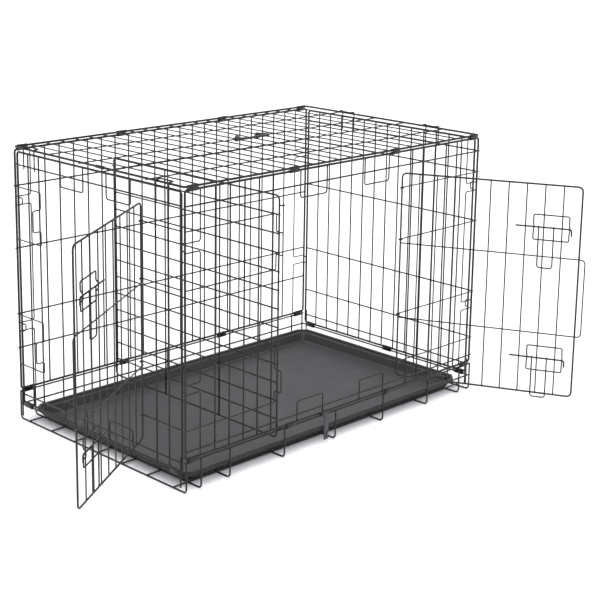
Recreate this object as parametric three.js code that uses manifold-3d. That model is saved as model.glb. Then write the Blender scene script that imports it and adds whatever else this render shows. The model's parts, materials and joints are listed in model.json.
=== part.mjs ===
// A folding wire dog crate with an end door, a side door, a divider, a plastic tray and a carry handle.
// Millimetres, +Z up. X runs along the crate, Y across it, and the origin is on the floor at its middle.
// The side door is in the long side at -Y and the end door is in the end at -X. Both stand open.

import * as THREE from 'three';
import { mergeVertices } from 'three/addons/utils/BufferGeometryUtils.js';
import Module from 'manifold-3d';

const wasm = await Module();
wasm.setup();

// ---------------------------------------------------------------- driving dimensions

const LENGTH = 910;              // long frames, centre to centre of the corner wires
const WIDTH = 570;               // long side to long side, centre to centre
const HEIGHT = 632;              // floor to the centre of the top rim
const LONG_SPACES = 23;          // wire spaces along the crate
const END_SPACES = 14;           // wire spaces across an end panel
const END_INSET = 10;            // end panel's corner wires, in from the long sides

const FRAME_WIRE = 4.4;          // panel frames
const BASE_WIRE = 3.4;           // base panel, bolts and legs
const DOOR_WIRE = 3.6;           // door and divider frames
const MESH_WIRE = 2.6;           // panel infill
const HOOP_WIRE = 2.8;           // brackets, hooks and hoops
const WELD_BITE = 0.4;           // how far two welded wires sink into each other
const RUNNING_GAP = 0.4;         // between wires that slide or turn on each other
const DOOR_GAP = 0.5;            // between a shut door and the rows behind it
const WELD_TOUCH = 0.2;          // bite of a thin wire on the face of a frame
const LAID_GAP = 0.3;            // between pieces that lie against each other
const FRAME_CORNER = 3;          // bend radius at the corner of a panel frame
const DOOR_CORNER = 10;          // bend radius at the corner of a door or the divider

const BASE_RAIL_Z = 66;          // top rail of the base
const BASE_LOOP_Z = 37;          // wire loop round the base, just over the tray
const BASE_CROSS = [0, 1, 3, 7, 11, 15, 19, 22, 23];   // wire spaces where the base has a U wire
const FLOOR_INSET = 34;          // outermost long floor wire, in from the side
const FLOOR_SPACES = 6;          // spaces between the long floor wires
const BASE_BEND = 9;             // bend radius at the foot of a U wire

const UPPER_ROW_DROP = 38;       // full row under the rim
const SIDE_LOWER_ROW = 89;
const END_LOWER_ROW = 64;
const HIGH_ROW_DROPS = [88, 207];  // rows beside the doors and on the plain end, under the rim
const LOW_ROWS = [250, 134];     // the same two rows near the foot, over the floor
const BACK_HIGH_DROPS = [88, 230];  // rows of the plain long side, under the rim
const BACK_LOW_ROWS = [250, 170];
const UPPER_SLOT_DROP = 122;     // corner slots, under the rim and over the floor
const LOWER_SLOT = 219;
const SLOT_HEIGHT = 20;
const CORNER_RING = 10;          // radius of the half rings on the end panels' corner wires
const LEG_TOP = 75;              // end panel legs
const LEG_FOOT = 12;

const TOP_LONG_INSET = 115;      // outer long wires of the top, in from the side
const TOP_LONG_MIDDLE = 48;      // inner long wires of the top, out from the middle

const SIDE_HINGE_SPACE = 16;     // the side door's hinge wire stands at this wire space
const SIDE_DOOR_WIDTH = 400;
const SIDE_DOOR_SILL = 104;
const SIDE_DOOR_HEAD_DROP = 54;
const SIDE_DOOR_OPEN = 116;      // degrees from shut
const END_HINGE_SPACE = 11;      // the end door's hinge wire stands at this upright
const END_DOOR_WIDTH = 362;
const END_DOOR_SILL = 84;
const END_DOOR_HEAD_DROP = 50;
const END_DOOR_OPEN = 122;
const DOOR_PITCH = 40;           // between a door's upright wires
const DOOR_ROW_DROP = 8;         // a door's rows sit this far under the panel's hinge rows
const DOOR_LIP = 13;             // how far the two rows run past the door's edge
const SIDE_KEEPER_INSET = 12;    // keeper upright, inside the door's free edge
const END_KEEPER_INSET = 15;
const KEEPER_STAND = 20;         // how far the keeper steps out
const KEEPER_STEP = 48;          // height of that step
const KEEPER_SLANT = 4;          // height that each end of the step leans over

const UPPER_BOLT_DROP = 150;
const LOWER_BOLT = 184;
const BOLT_TAIL = 142;           // bolt's tail, back from the door's edge
const BOLT_TIP = 20;             // bolt's tip, back from the door's edge
const BOLT_HOOK = 15;            // bent-down tip
const BRACKET_FAR = 103;         // bracket's sides, back from the door's edge
const BRACKET_NEAR = 25;
const BRACKET_HEIGHT = 56;
const BRACKET_SLANT = 6;
const PULL_FAR = 92;             // pull loop's legs, back from the door's edge
const PULL_NEAR = 59;
const PULL_DROP = 92;

const HOOP_SIDE = { spaces: [[8, 10], [13, 15]], drop: 66, foot: 118 };
const HOOP_END = { spaces: [[4, 6], [8, 10]], drop: 64, foot: 88 };
const HOOP_BEND = 5;

const CLIP_LENGTH = 26;
const CLIP_WALL = 1.05;
const ROUND_CLIP_PITCH = 0.01;   // of a clip round one wire only
const LONG_CLIPS = [0.5, 7.5, 15.5, 22.5];             // clips along a side, in wire spaces
const END_CLIPS = [0.5, 7.5, 13.5];                    // clips across an end, in wire spaces
const LEFT_HOOK_INSET = 61;      // hook centres, in from the long side
const RIGHT_HOOK_INSET = 146;
const TOP_HOOK_WIDTH = 42;
const TOP_HOOK_DROP = 44;
const TOP_HOOK_BEND = 2;
const TOP_HOOK_REACH = 13;

const DIVIDER_SPACE = 6.7;       // where the divider stands, in wire spaces
const DIVIDER_FOOT = 46;
const DIVIDER_HEAD_DROP = 56;
const DIVIDER_SPACES = 13;
const DIVIDER_UPRIGHTS = 2;
const DIVIDER_GAP = 10;          // divider frame to the long sides
const DIVIDER_HOOK = 10;

const TRAY_END_GAP = 13;         // tray rim to the end frames
const TRAY_SIDE_GAP = 15;        // tray rim to the side frames
const TRAY_WALL = 2.2;
const TRAY_SLOPE = 20;           // how far the outer wall draws in at the foot
const TRAY_CORNER = 26;
const TRAY_CLEARANCE = 0.6;      // under the end clips
const TRAY_LEDGE_WIDTH = 9;
const TRAY_LEDGE_DROP = 6;
const TRAY_RIM_WIDTH = 9;
const TRAY_RIM_FLARE = 2;
const TRAY_WELL_SLOPE = 10;      // well wall, in at its foot from the ledge
const CUT_PAST = 0.5;            // how far a cutting shape runs past the face it cuts
const TRAY_HOLE = { length: 20, width: 11, inX: 20, inY: 25 };

const STOP_WIDTH = 13;
const STOP_THICKNESS = 3;
const STOP_FOOT = 9;
const STOP_WALL = 1.2;
const STOP_GAP = 0.25;           // between its eye and the rail it turns on
const STOP_CLEARANCE = 0.24;     // between its eye and the base rail underneath
const STOP_KNOB = { offset: 12, radius: 5, depth: 9 };
const STOP_SLOT = { width: 3, height: 16, foot: 12 };

const HANDLE_SPACE = 12;         // wire space over which the handle is centred
const HANDLE_WIRE_GAP = 1.3;     // from a leg of the handle to the cross wire beside it
const HANDLE_EYE = 9;            // eye length along the wire
const HANDLE_REACH = 32;
const HANDLE_GRIP = 104;
const HANDLE_THICKNESS = 6;
const HANDLE_STRAP = 10;
const HANDLE_WALL = 2;
const HANDLE_BEND = 3;
const HANDLE_FLARE = 8;          // where the bow is widest, back from the grip
const HANDLE_STEM = 4;           // straight part of a leg next to its eye

// ---------------------------------------------------------------- what follows from them

const longPitch = LENGTH / LONG_SPACES;
const endWidth = WIDTH - 2 * END_INSET;
const endPitch = endWidth / END_SPACES;
const halfLength = LENGTH / 2;
const halfWidth = WIDTH / 2;
const halfEnd = endWidth / 2;
const stopBore = FRAME_WIRE * Math.SQRT1_2 + STOP_GAP;
const railPitch = stopBore + STOP_WALL + STOP_CLEARANCE + BASE_WIRE / 2;  // two rails in one clip
const sideFoot = BASE_RAIL_Z + railPitch;
const sideHead = HEIGHT - railPitch;
const endFoot = BASE_LOOP_Z + railPitch;
const endHead = HEIGHT - railPitch - (FRAME_WIRE + MESH_WIRE) / 2;
const meshLayer = MESH_WIRE - WELD_BITE;               // rows lie this far outside the uprights
const rowFace = meshLayer + MESH_WIRE / 2;             // outer face of the rows
const doorStand = rowFace + DOOR_WIRE / 2 + DOOR_GAP;
const eyeRadius = DOOR_WIRE * Math.SQRT1_2 + RUNNING_GAP;
const clipBore = FRAME_WIRE * Math.SQRT1_2 + RUNNING_GAP;
const clipRadius = clipBore + CLIP_WALL;
const floorTop = 2 * BASE_WIRE - WELD_BITE;
const longX = (space) => -halfLength + space * longPitch;
const endY = (space) => halfEnd - space * endPitch;
const underRim = (drop) => HEIGHT - drop;
const upperRow = underRim(UPPER_ROW_DROP);
const doorRows = [...HIGH_ROW_DROPS.map(underRim), ...LOW_ROWS];
const backRows = [...BACK_HIGH_DROPS.map(underRim), ...BACK_LOW_ROWS];
const slotCentres = [underRim(UPPER_SLOT_DROP), LOWER_SLOT];
const boltCentres = [underRim(UPPER_BOLT_DROP), LOWER_BOLT];
const topLongY = [TOP_LONG_INSET - halfWidth, -TOP_LONG_MIDDLE, TOP_LONG_MIDDLE, halfWidth - TOP_LONG_INSET];
const sideHingeX = longX(SIDE_HINGE_SPACE);
const sideKeeperX = sideHingeX - SIDE_DOOR_WIDTH + SIDE_KEEPER_INSET;
const endHingeY = endY(END_HINGE_SPACE);
const endKeeperY = endHingeY + END_DOOR_WIDTH - END_KEEPER_INSET;
const dividerX = longX(DIVIDER_SPACE);

// ---------------------------------------------------------------- solids

function solid(geometry) {
  const bare = geometry.clone();
  bare.deleteAttribute('normal');
  bare.deleteAttribute('uv');
  const merged = mergeVertices(bare, 1e-4);
  const vertProperties = new Float32Array(merged.attributes.position.array);
  const triVerts = new Uint32Array(merged.index.array);
  return new wasm.Manifold(new wasm.Mesh({ numProp: 3, vertProperties, triVerts }));
}

function union(geometries) {
  return geometries.map(solid).reduce((whole, piece) => whole.add(piece));
}

function geometryOf(manifold) {
  const mesh = manifold.getMesh();
  const points = new Float32Array(mesh.numVert * 3);
  for (let i = 0; i < mesh.numVert; i += 1) {
    for (let k = 0; k < 3; k += 1) {
      points[3 * i + k] = mesh.vertProperties[mesh.numProp * i + k];
    }
  }
  const geometry = new THREE.BufferGeometry();
  geometry.setAttribute('position', new THREE.BufferAttribute(points, 3));
  geometry.setIndex(new THREE.BufferAttribute(new Uint32Array(mesh.triVerts), 1));
  geometry.computeVertexNormals();
  return geometry;
}

// A straight wire from p to q, along one axis.
function straight(p, q, wire) {
  const size = p.map((value, i) => Math.abs(q[i] - value) || wire);
  const box = new THREE.BoxGeometry(...size);
  box.translate(...p.map((value, i) => (value + q[i]) / 2));
  return box;
}

// Turns a shape drawn in a local XY plane into the named plane, at a place along the third axis.
function inPlane(geometry, plane, at) {
  const axes = {
    xy: [[1, 0, 0], [0, 1, 0], [0, 0, 1]],
    xz: [[1, 0, 0], [0, 0, 1], [0, -1, 0]],
    yz: [[0, 1, 0], [0, 0, 1], [1, 0, 0]],
  }[plane].map((axis) => new THREE.Vector3(...axis));
  geometry.applyMatrix4(new THREE.Matrix4().makeBasis(...axes));
  const shift = { xy: [0, 0, at], xz: [0, at, 0], yz: [at, 0, 0] }[plane];
  return geometry.translate(...shift);
}

function plate(shape, thickness, plane, at, curveSegments = 4) {
  const options = { depth: thickness, bevelEnabled: false, curveSegments };
  const geometry = new THREE.ExtrudeGeometry(shape, options);
  geometry.translate(0, 0, -thickness / 2);
  return inPlane(geometry, plane, at);
}

// The centre line through the given points, with each inner corner rounded to a radius.
function rounded(points, radius, steps = 2) {
  const line = [points[0]];
  for (let i = 1; i < points.length - 1; i += 1) {
    const corner = points[i];
    const into = new THREE.Vector2().subVectors(points[i - 1], corner).normalize();
    const out = new THREE.Vector2().subVectors(points[i + 1], corner).normalize();
    const half = into.angleTo(out) / 2;
    const back = radius / Math.tan(half);
    const start = corner.clone().addScaledVector(into, back);
    const end = corner.clone().addScaledVector(out, back);
    const bend = new THREE.QuadraticBezierCurve(start, corner, end);
    line.push(...bend.getPoints(steps));
  }
  line.push(points[points.length - 1]);
  return line;
}

// A wire or strap bent in one plane: the centre line is offset to both sides and extruded.
function bent(corners, wire, plane, at, radius = 0, thickness = wire) {
  const points = corners.map(([u, v]) => new THREE.Vector2(u, v));
  const line = radius ? rounded(points, radius) : points;
  const last = line.length - 1;
  const side = (sign) => line.map((point, i) => {
    const before = new THREE.Vector2().subVectors(point, line[Math.max(i - 1, 0)]).normalize();
    const after = new THREE.Vector2().subVectors(line[Math.min(i + 1, last)], point).normalize();
    const into = i === 0 ? after : before;
    const out = i === last ? before : after;
    const mid = new THREE.Vector2().addVectors(into, out).normalize();
    const stretch = 1 / mid.dot(into);
    const normal = new THREE.Vector2(-mid.y, mid.x);
    return point.clone().addScaledVector(normal, (sign * stretch * wire) / 2);
  });
  const shape = new THREE.Shape([...side(1), ...side(-1).reverse()]);
  return plate(shape, thickness, plane, at);
}

function roundRect(path, left, right, foot, head, radius) {
  path.moveTo(left + radius, foot);
  path.lineTo(right - radius, foot);
  path.absarc(right - radius, foot + radius, radius, -Math.PI / 2, 0);
  path.lineTo(right, head - radius);
  path.absarc(right - radius, head - radius, radius, 0, Math.PI / 2);
  path.lineTo(left + radius, head);
  path.absarc(left + radius, head - radius, radius, Math.PI / 2, Math.PI);
  path.lineTo(left, foot + radius);
  path.absarc(left + radius, foot + radius, radius, Math.PI, 1.5 * Math.PI);
  return path;
}

// A closed rectangular wire frame with rounded corners.
function frame([left, right, foot, head], wire, plane, at, corner = FRAME_CORNER) {
  const w = wire / 2;
  const shape = roundRect(new THREE.Shape(), left - w, right + w, foot - w, head + w, corner + w);
  shape.holes.push(roundRect(new THREE.Path(), left + w, right - w, foot + w, head - w, corner - w));
  return plate(shape, wire, plane, at, 1);
}

// A flat eye round a wire that stands square to the plane.
function eye(u, v, bore, wall, thickness, plane, at) {
  const shape = new THREE.Shape().absarc(u, v, bore + wall, 0, 2 * Math.PI);
  shape.holes.push(new THREE.Path().absarc(u, v, bore, 0, 2 * Math.PI, true));
  return plate(shape, thickness, plane, at, 4);
}

// ---------------------------------------------------------------- materials and meshes

function finish(color, roughness, metalness) {
  return new THREE.MeshStandardMaterial({ color, roughness, metalness });
}

const FINISHES = {
  wire: () => finish(0x2b2b2d, 0.42, 0.35),
  clip: () => finish(0x242426, 0.4, 0.5),
  tray: () => finish(0x35363a, 0.55, 0),
  strap: () => finish(0x48494f, 0.5, 0),
  grip: () => finish(0x2a2a2a, 0.55, 0),
};

const crate = new THREE.Group();

function add(name, manifold, look = 'wire', parent = crate) {
  const mesh = new THREE.Mesh(geometryOf(manifold), FINISHES[look]());
  mesh.name = name;
  parent.add(mesh);
  return mesh;
}

// ---------------------------------------------------------------- base panel

function basePanel() {
  const wires = [];
  const sideY = halfWidth + BASE_WIRE - WELD_BITE;
  for (const space of BASE_CROSS) {
    const path = [
      [-sideY, BASE_RAIL_Z + BASE_WIRE / 2],
      [-sideY, BASE_WIRE / 2],
      [sideY, BASE_WIRE / 2],
      [sideY, BASE_RAIL_Z + BASE_WIRE / 2],
    ];
    wires.push(bent(path, BASE_WIRE, 'yz', longX(space), BASE_BEND));
  }
  const reach = halfLength + BASE_WIRE / 2;
  const floorZ = floorTop - BASE_WIRE / 2;
  for (let i = 0; i <= FLOOR_SPACES; i += 1) {
    const y = (halfWidth - FLOOR_INSET) * ((2 * i) / FLOOR_SPACES - 1);
    wires.push(straight([-reach, y, floorZ], [reach, y, floorZ], BASE_WIRE));
  }
  for (const y of [-halfWidth, halfWidth]) {
    wires.push(straight([-reach, y, BASE_RAIL_Z], [reach, y, BASE_RAIL_Z], BASE_WIRE));
  }
  const loop = [-halfLength, halfLength, -halfWidth, halfWidth];
  wires.push(frame(loop, BASE_WIRE, 'xy', BASE_LOOP_Z));
  return union(wires);
}

// ---------------------------------------------------------------- long sides

// An upright next to a corner wire. At each slot it bends away to the corner wire and starts again below.
function slottedUpright(space, y) {
  const x = longX(space);
  const cornerX = Math.sign(x) * halfLength;
  const half = SLOT_HEIGHT / 2;
  const levels = [sideHead, ...slotCentres.flatMap((z) => [z + half, z - half]), sideFoot];
  const pieces = [];
  for (let i = 0; i < levels.length; i += 2) {
    const path = [[x, levels[i]], [x, levels[i + 1]]];
    if (i > 0) path.unshift([cornerX, levels[i]]);
    if (i + 2 < levels.length) path.push([cornerX, levels[i + 1]]);
    pieces.push(bent(path, MESH_WIRE, 'xz', y, MESH_WIRE));
  }
  return pieces;
}

function sideFrame(y) {
  const outline = [-halfLength, halfLength, sideFoot, sideHead];
  return frame(outline, FRAME_WIRE, 'xz', y);
}

function backSidePanel() {
  const y = halfWidth;
  const rowY = y + meshLayer;
  const wires = [sideFrame(y), ...slottedUpright(1, y), ...slottedUpright(LONG_SPACES - 1, y)];
  for (let space = 2; space < LONG_SPACES - 1; space += 1) {
    wires.push(straight([longX(space), y, sideFoot], [longX(space), y, sideHead], MESH_WIRE));
  }
  for (const z of backRows) {
    wires.push(straight([-halfLength, rowY, z], [halfLength, rowY, z], MESH_WIRE));
  }
  return union(wires);
}

// The upright of a keeper: it steps out round the place where the bolt's tip goes.
function keeperPath(stand, out, top, foot, centre) {
  const half = KEEPER_STEP / 2;
  return [
    [stand, top],
    [stand, centre + half],
    [stand + out, centre + half - KEEPER_SLANT],
    [stand + out, centre - half + KEEPER_SLANT],
    [stand, centre - half],
    [stand, foot],
  ];
}

// The two pairs of keeper rows beside a door: [top row, foot row, bolt height].
const KEEPER_PAIRS = [
  [doorRows[0], doorRows[1], boltCentres[0]],
  [doorRows[2], doorRows[3], boltCentres[1]],
];

function hoop([first, last], rail, close, place, plane, at) {
  const path = [[place(first), rail], [place(first), close], [place(last), close], [place(last), rail]];
  return bent(path, HOOP_WIRE, plane, at, HOOP_BEND);
}

function frontSidePanel() {
  const y = -halfWidth;
  const rowY = y - meshLayer;
  const wires = [sideFrame(y), ...slottedUpright(1, y), ...slottedUpright(LONG_SPACES - 1, y)];
  const keeperSpaces = Math.floor((sideKeeperX + halfLength) / longPitch);
  const hingeSpaces = Math.ceil((sideHingeX + 2 * eyeRadius + halfLength) / longPitch);
  for (let space = 2; space < LONG_SPACES - 1; space += 1) {
    if (space > keeperSpaces && space < hingeSpaces) continue;
    wires.push(straight([longX(space), y, sideFoot], [longX(space), y, sideHead], MESH_WIRE));
  }
  for (const z of [upperRow, SIDE_LOWER_ROW]) {
    wires.push(straight([-halfLength, rowY, z], [halfLength, rowY, z], MESH_WIRE));
  }
  for (const [top, foot, centre] of KEEPER_PAIRS) {
    for (const z of [top, foot]) {
      wires.push(straight([-halfLength, rowY, z], [sideKeeperX, rowY, z], MESH_WIRE));
    }
    const ends = [top + MESH_WIRE / 2, foot - MESH_WIRE / 2];
    const path = keeperPath(rowY, -KEEPER_STAND, ...ends, centre);
    wires.push(bent(path, MESH_WIRE, 'yz', sideKeeperX));
  }
  const hingeY = y - doorStand;
  for (const z of doorRows) {
    const start = sideHingeX + eyeRadius + MESH_WIRE / 2;
    wires.push(straight([start, rowY, z], [halfLength, rowY, z], MESH_WIRE));
    wires.push(eye(sideHingeX, hingeY, eyeRadius, MESH_WIRE, MESH_WIRE, 'xy', z));
  }
  for (const spaces of HOOP_SIDE.spaces) {
    wires.push(hoop(spaces, sideHead, underRim(HOOP_SIDE.drop), longX, 'xz', y));
    wires.push(hoop(spaces, sideFoot, HOOP_SIDE.foot, longX, 'xz', y));
  }
  return union(wires);
}

// ---------------------------------------------------------------- end panels

// The frame, legs, corner half rings and full rows of an end panel. side is -1 or 1 along X.
function endFrame(side) {
  const x = side * halfLength;
  const wires = [frame([-halfEnd, halfEnd, endFoot, endHead], FRAME_WIRE, 'yz', x)];
  const legX = x + side * (FRAME_WIRE / 2 + BASE_WIRE / 2 - WELD_TOUCH);
  for (const y of [-halfEnd, halfEnd]) {
    wires.push(straight([legX, y, LEG_FOOT], [legX, y, LEG_TOP], BASE_WIRE));
    for (const z of slotCentres) {
      const inner = x - side * CORNER_RING;
      const half = SLOT_HEIGHT / 2;
      const path = [[x, z + half], [inner, z + half], [inner, z - half], [x, z - half]];
      wires.push(bent(path, MESH_WIRE, 'xz', y, 4));
    }
  }
  const rowX = x + side * meshLayer;
  for (const z of [upperRow, END_LOWER_ROW]) {
    wires.push(straight([rowX, -halfEnd, z], [rowX, halfEnd, z], MESH_WIRE));
  }
  return wires;
}

function rightEndPanel() {
  const x = halfLength;
  const rowX = x + meshLayer;
  const wires = endFrame(1);
  for (let space = 1; space < END_SPACES; space += 1) {
    wires.push(straight([x, endY(space), endFoot], [x, endY(space), endHead], MESH_WIRE));
  }
  for (const z of doorRows) {
    wires.push(straight([rowX, -halfEnd, z], [rowX, halfEnd, z], MESH_WIRE));
  }
  return union(wires);
}

function leftEndPanel() {
  const x = -halfLength;
  const rowX = x - meshLayer;
  const wires = endFrame(-1);
  const keeperSpaces = Math.floor((halfEnd - endKeeperY) / endPitch);
  const hingeSpaces = Math.ceil((halfEnd - endHingeY + 2 * eyeRadius) / endPitch);
  for (let space = 1; space < END_SPACES; space += 1) {
    if (space > keeperSpaces && space < hingeSpaces) continue;
    wires.push(straight([x, endY(space), endFoot], [x, endY(space), endHead], MESH_WIRE));
  }
  for (const [top, foot, centre] of KEEPER_PAIRS) {
    for (const z of [top, foot]) {
      wires.push(straight([rowX, endKeeperY, z], [rowX, halfEnd, z], MESH_WIRE));
    }
    const ends = [top + MESH_WIRE / 2, foot - MESH_WIRE / 2];
    const path = keeperPath(rowX, -KEEPER_STAND, ...ends, centre);
    wires.push(bent(path, MESH_WIRE, 'xz', endKeeperY));
  }
  const hingeX = x - doorStand;
  for (const z of doorRows) {
    const start = endHingeY - eyeRadius - MESH_WIRE / 2;
    wires.push(straight([rowX, -halfEnd, z], [rowX, start, z], MESH_WIRE));
    wires.push(eye(hingeX, endHingeY, eyeRadius, MESH_WIRE, MESH_WIRE, 'xy', z));
  }
  for (const spaces of HOOP_END.spaces) {
    wires.push(hoop(spaces, endHead, underRim(HOOP_END.drop), endY, 'yz', x));
    wires.push(hoop(spaces, endFoot, HOOP_END.foot, endY, 'yz', x));
  }
  return union(wires);
}

// A sprung loop of an end panel: it stands outside the top rim and closes over it.
function topHook(side, centreY) {
  const rimFace = halfLength + rowFace;
  const legX = rimFace + LAID_GAP + HOOP_WIRE / 2;
  const overZ = HEIGHT + FRAME_WIRE / 2 + RUNNING_GAP + HOOP_WIRE / 2;
  const innerX = legX - TOP_HOOK_REACH;
  const path = [[side * legX, underRim(TOP_HOOK_DROP)], [side * legX, overZ], [side * innerX, overZ]];
  const half = (TOP_HOOK_WIDTH - HOOP_WIRE) / 2;
  const legs = [-half, half].map((dy) => bent(path, HOOP_WIRE, 'xz', centreY + dy, TOP_HOOK_BEND));
  const ends = [centreY - half, centreY + half].map((y) => [side * innerX, y, overZ]);
  return union([...legs, straight(...ends, HOOP_WIRE)]);
}

// ---------------------------------------------------------------- top panel

function topPanel() {
  const wires = [frame([-halfLength, halfLength, -halfWidth, halfWidth], FRAME_WIRE, 'xy', HEIGHT)];
  for (let space = 1; space < LONG_SPACES; space += 1) {
    const x = longX(space);
    wires.push(straight([x, -halfWidth, HEIGHT], [x, halfWidth, HEIGHT], MESH_WIRE));
  }
  const lowZ = HEIGHT - meshLayer;
  for (const y of topLongY) {
    wires.push(straight([-halfLength, y, lowZ], [halfLength, y, lowZ], MESH_WIRE));
  }
  return union(wires);
}

// ---------------------------------------------------------------- doors and their bolts

// A door is drawn shut and facing -Y, with its hinge wire on the Z axis and its free edge towards -X.
function doorPanel(width, sill, head) {
  const wires = [frame([-width, 0, sill, head], DOOR_WIRE, 'xz', 0, DOOR_CORNER)];
  for (let x = DOOR_PITCH; x < width - DOOR_PITCH / 2; x += DOOR_PITCH) {
    wires.push(straight([-x, 0, sill], [-x, 0, head], MESH_WIRE));
  }
  const [upper, lower] = [doorRows[1] - DOOR_ROW_DROP, doorRows[2] - DOOR_ROW_DROP];
  const edge = -width - DOOR_LIP;
  const path = [[0, upper], [edge, upper], [edge, lower], [0, lower]];
  wires.push(bent(path, MESH_WIRE, 'xz', -meshLayer, 9));
  return union(wires);
}

const boltY = -(DOOR_WIRE / 2 + RUNNING_GAP + BASE_WIRE / 2);
const pullY = boltY - BASE_WIRE / 2 - HOOP_WIRE / 2 + WELD_BITE;

// A bolt: a rod with a bent-down tip, and the pull loop welded on its outer side.
function bolt(width, centre) {
  const tip = -width + BOLT_TIP;
  const rod = [[-width + BOLT_TAIL, centre], [tip, centre], [tip, centre - BOLT_HOOK]];
  const near = -width + PULL_NEAR;
  const far = -width + PULL_FAR;
  const [top, foot] = [centre + BASE_WIRE / 2, centre - PULL_DROP];
  const pull = [[far, top], [far, foot], [near, foot], [near, top]];
  return union([
    bent(rod, BASE_WIRE, 'xz', boltY, 4),
    bent(pull, HOOP_WIRE, 'xz', pullY, 5),
  ]);
}

// A bracket: a wire rectangle on the door whose two upright sides step out over the bolt.
function bracket(width, centre) {
  const weldY = -(MESH_WIRE / 2 + LAID_GAP + HOOP_WIRE / 2);
  const overY = boltY - BASE_WIRE / 2 - RUNNING_GAP - HOOP_WIRE / 2;
  const half = BRACKET_HEIGHT / 2;
  const step = BASE_WIRE / 2 + RUNNING_GAP + HOOP_WIRE;
  const upright = [
    [weldY, centre + half],
    [weldY, centre + step + BRACKET_SLANT],
    [overY, centre + step],
    [overY, centre - step],
    [weldY, centre - step - BRACKET_SLANT],
    [weldY, centre - half],
  ];
  const far = -width + BRACKET_FAR;
  const near = -width + BRACKET_NEAR;
  const wires = [far, near].map((x) => bent(upright, HOOP_WIRE, 'yz', x));
  for (const z of [centre - half, centre + half]) {
    const [a, b] = [near - HOOP_WIRE / 2, far + HOOP_WIRE / 2];
    wires.push(straight([a, weldY, z], [b, weldY, z], HOOP_WIRE));
  }
  return union(wires);
}

function door(name, width, sill, head) {
  const group = new THREE.Group();
  add(`${name}_door`, doorPanel(width, sill, head), 'wire', group);
  ['upper', 'lower'].forEach((level, i) => {
    add(`${name}_${level}_bolt`, bolt(width, boltCentres[i]), 'wire', group);
    add(`${name}_${level}_bracket`, bracket(width, boltCentres[i]), 'wire', group);
  });
  crate.add(group);
  return group;
}

// ---------------------------------------------------------------- divider

function divider() {
  const edge = halfWidth - DIVIDER_GAP;
  const head = underRim(DIVIDER_HEAD_DROP);
  const wires = [frame([-edge, edge, DIVIDER_FOOT, head], DOOR_WIRE, 'yz', dividerX, DOOR_CORNER)];
  const rowX = dividerX + meshLayer;
  const pitch = (head - DIVIDER_FOOT) / DIVIDER_SPACES;
  for (let i = 1; i < DIVIDER_SPACES; i += 1) {
    const z = DIVIDER_FOOT + i * pitch;
    wires.push(straight([rowX, -edge, z], [rowX, edge, z], MESH_WIRE));
  }
  for (let i = 1; i <= DIVIDER_UPRIGHTS; i += 1) {
    const y = -edge + (2 * edge * i) / (DIVIDER_UPRIGHTS + 1);
    wires.push(straight([dividerX, y, DIVIDER_FOOT], [dividerX, y, head], MESH_WIRE));
  }
  for (const side of [-1, 1]) {
    const tipY = side * (halfWidth - FRAME_WIRE / 2 - RUNNING_GAP - HOOP_WIRE / 2);
    const start = [dividerX, side * edge];
    for (const z of [head - 2 * DOOR_CORNER, DIVIDER_FOOT + 2 * DOOR_CORNER]) {
      const path = [start, [dividerX, tipY], [dividerX + DIVIDER_HOOK, tipY]];
      wires.push(bent(path, HOOP_WIRE, 'xy', z, 2));
    }
  }
  return union(wires);
}

// ---------------------------------------------------------------- tray

// A plate whose outline grows evenly from its foot to its head.
function flaredPlate(halfX, halfY, corner, grow, foot, head) {
  const outline = roundRect(new THREE.Shape(), -halfX, halfX, -halfY, halfY, corner);
  const height = head - foot;
  const geometry = new THREE.ExtrudeGeometry(outline, {
    depth: 1,
    bevelThickness: height,
    bevelSize: grow,
    bevelSegments: 1,
    curveSegments: 4,
  });
  geometry.translate(0, 0, head);
  const keep = new THREE.BoxGeometry(4 * halfX, 4 * halfY, height);
  keep.translate(0, 0, (head + foot) / 2);
  return solid(geometry).intersect(solid(keep));
}

function tray() {
  const foot = floorTop + LAID_GAP;
  const head = endFoot - railPitch - clipRadius - TRAY_CLEARANCE;
  const ledge = head - TRAY_LEDGE_DROP;
  const [halfX, halfY] = [halfLength - TRAY_END_GAP, halfWidth - TRAY_SIDE_GAP];
  const outer = flaredPlate(halfX - TRAY_SLOPE, halfY - TRAY_SLOPE, TRAY_CORNER, TRAY_SLOPE, foot, head);
  const rimX = halfX - TRAY_RIM_WIDTH;
  const rimY = halfY - TRAY_RIM_WIDTH;
  const flare = TRAY_RIM_FLARE;
  const upper = flaredPlate(rimX - flare, rimY - flare, TRAY_CORNER, flare, ledge, head + CUT_PAST);
  const wellIn = TRAY_RIM_WIDTH + TRAY_LEDGE_WIDTH + TRAY_WELL_SLOPE;
  const floorZ = foot + TRAY_WALL;
  const [wellX, wellY] = [halfX - wellIn, halfY - wellIn];
  const well = flaredPlate(wellX, wellY, TRAY_CORNER, TRAY_WELL_SLOPE, floorZ, ledge + CUT_PAST);
  const hole = new THREE.CylinderGeometry(0.5, 0.5, 2 * HEIGHT, 10);
  hole.rotateX(Math.PI / 2);
  hole.scale(TRAY_HOLE.length, TRAY_HOLE.width, 1);
  hole.translate(halfX - TRAY_HOLE.inX, -halfY + TRAY_HOLE.inY, ledge);
  return outer.subtract(upper).subtract(well).subtract(solid(hole));
}

// ---------------------------------------------------------------- tray stop

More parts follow.
